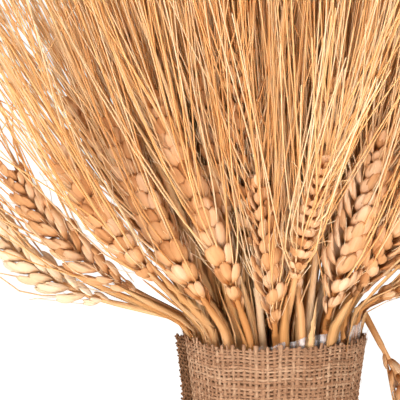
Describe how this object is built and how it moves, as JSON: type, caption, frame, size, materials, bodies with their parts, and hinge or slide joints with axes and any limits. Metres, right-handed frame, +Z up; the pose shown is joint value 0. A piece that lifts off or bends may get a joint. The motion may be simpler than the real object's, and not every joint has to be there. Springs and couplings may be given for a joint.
{
  "type": "bundle of dried wheat",
  "caption": "Upright sheaf of dried bearded wheat with fanned ears and long awns, wrapped in a burlap strip and tied with jute twine.",
  "frame": {"origin": "centre of the middle straw's cut end, on the surface that the sheaf stands on", "axes": "+Z up along the middle straw; -Y towards the front of the sheaf; +X to the right as seen from the front"},
  "size_m": [0.4198, 0.4112, 0.4724],
  "materials": {
    "straw": "satin",
    "burlap": "matte",
    "tape": "gloss",
    "twine": "matte"
  },
  "bodies": {
    "root": {"stalk_01": "straw", "stalk_02": "straw", "stalk_03": "straw", "stalk_04": "straw", "stalk_05": "straw", "stalk_06": "straw", "stalk_07": "straw", "stalk_08": "straw", "stalk_09": "straw", "stalk_10": "straw", "stalk_11": "straw", "stalk_12": "straw", "stalk_13": "straw", "stalk_14": "straw", "stalk_15": "straw", "stalk_16": "straw", "stalk_17": "straw", "stalk_18": "straw", "stalk_19": "straw", "stalk_20": "straw", "stalk_21": "straw", "stalk_22": "straw", "stalk_23": "straw", "stalk_24": "straw", "stalk_25": "straw", "stalk_26": "straw", "stalk_27": "straw", "stalk_28": "straw", "stalk_29": "straw", "stalk_30": "straw", "stalk_31": "straw", "stalk_32": "straw", "stalk_33": "straw", "stalk_34": "straw", "stalk_35": "straw", "stalk_36": "straw", "stalk_37": "straw", "stalk_38": "straw", "stalk_39": "straw", "stalk_40": "straw", "stalk_41": "straw", "stalk_42": "straw", "stalk_43": "straw", "stalk_44": "straw", "stalk_45": "straw", "stalk_46": "straw", "stalk_47": "straw", "stalk_48": "straw", "stalk_49": "straw", "stalk_50": "straw", "stalk_51": "straw", "stalk_52": "straw", "stalk_53": "straw", "stalk_54": "straw", "stalk_55": "straw", "stalk_56": "straw", "burlap_wrap": "burlap", "clear_tape": "tape", "twine_tie": "twine"}
  },
  "joints": []
}
